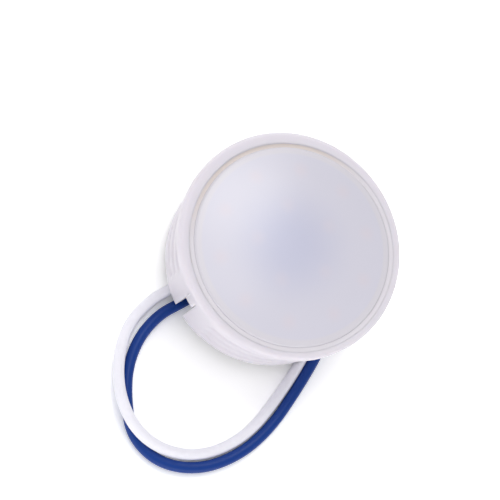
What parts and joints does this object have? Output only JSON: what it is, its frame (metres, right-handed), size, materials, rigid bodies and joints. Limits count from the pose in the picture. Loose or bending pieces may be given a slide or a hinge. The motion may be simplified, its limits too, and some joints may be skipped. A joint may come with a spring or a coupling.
{
  "type": "round LED lamp for a pool or spa light",
  "caption": "Round white LED lamp puck with an opal dome in a ring rim, a ringed skirt with a lead notch, a sealed driver cup behind, and two hook-up leads, white and blue.",
  "frame": {"origin": "centre of the rear boss's face, which the lamp rests on", "axes": "+Z out through the dome, -Y through the lead notch"},
  "size_m": [0.0598, 0.0715, 0.024],
  "materials": {
    "white_plastic": "satin",
    "opal_lens": "satin, translucent",
    "seal_rubber": "matte",
    "board_white": "satin",
    "led_white": "satin",
    "led_phosphor": "gloss",
    "steel": "satin",
    "thermal_grey": "matte",
    "aluminium": "satin",
    "board_green": "satin",
    "component_black": "matte",
    "sleeve_dark": "gloss",
    "resistor_green": "gloss",
    "varistor_blue": "gloss",
    "tinned": "satin",
    "potting": "gloss",
    "white_insulation": "satin",
    "blue_insulation": "satin"
  },
  "bodies": {
    "lamp": {"housing": "white_plastic", "lens_gasket": "seal_rubber", "led_board": "board_white", "led_packages": "led_white", "led_phosphors": "led_phosphor", "board_screws": "steel", "thermal_pad": "thermal_grey", "heat_spreader": "aluminium", "rear_cover": "white_plastic", "rear_cover_screws": "steel", "cover_gasket": "seal_rubber", "driver_board": "board_green", "bridge_rectifier": "component_black", "driver_chip": "component_black", "smoothing_capacitor": "sleeve_dark", "choke": "component_black", "fuse_resistor": "resistor_green", "varistor": "varistor_blue", "jumper_pins": "tinned", "solder_joints": "tinned", "potting_compound": "potting", "lead_grommet": "seal_rubber", "white_lead_inner": "white_insulation", "blue_lead_inner": "blue_insulation", "white_lead": "white_insulation", "blue_lead": "blue_insulation", "white_lead_tip": "tinned", "blue_lead_tip": "tinned"},
    "lens": {"diffuser_lens": "opal_lens"}
  },
  "joints": [
    {"name": "lens_lift", "type": "slide", "parent": "lamp", "child": "lens", "axis": [0, 0, 1], "range_m": [0, 0.006]}
  ]
}
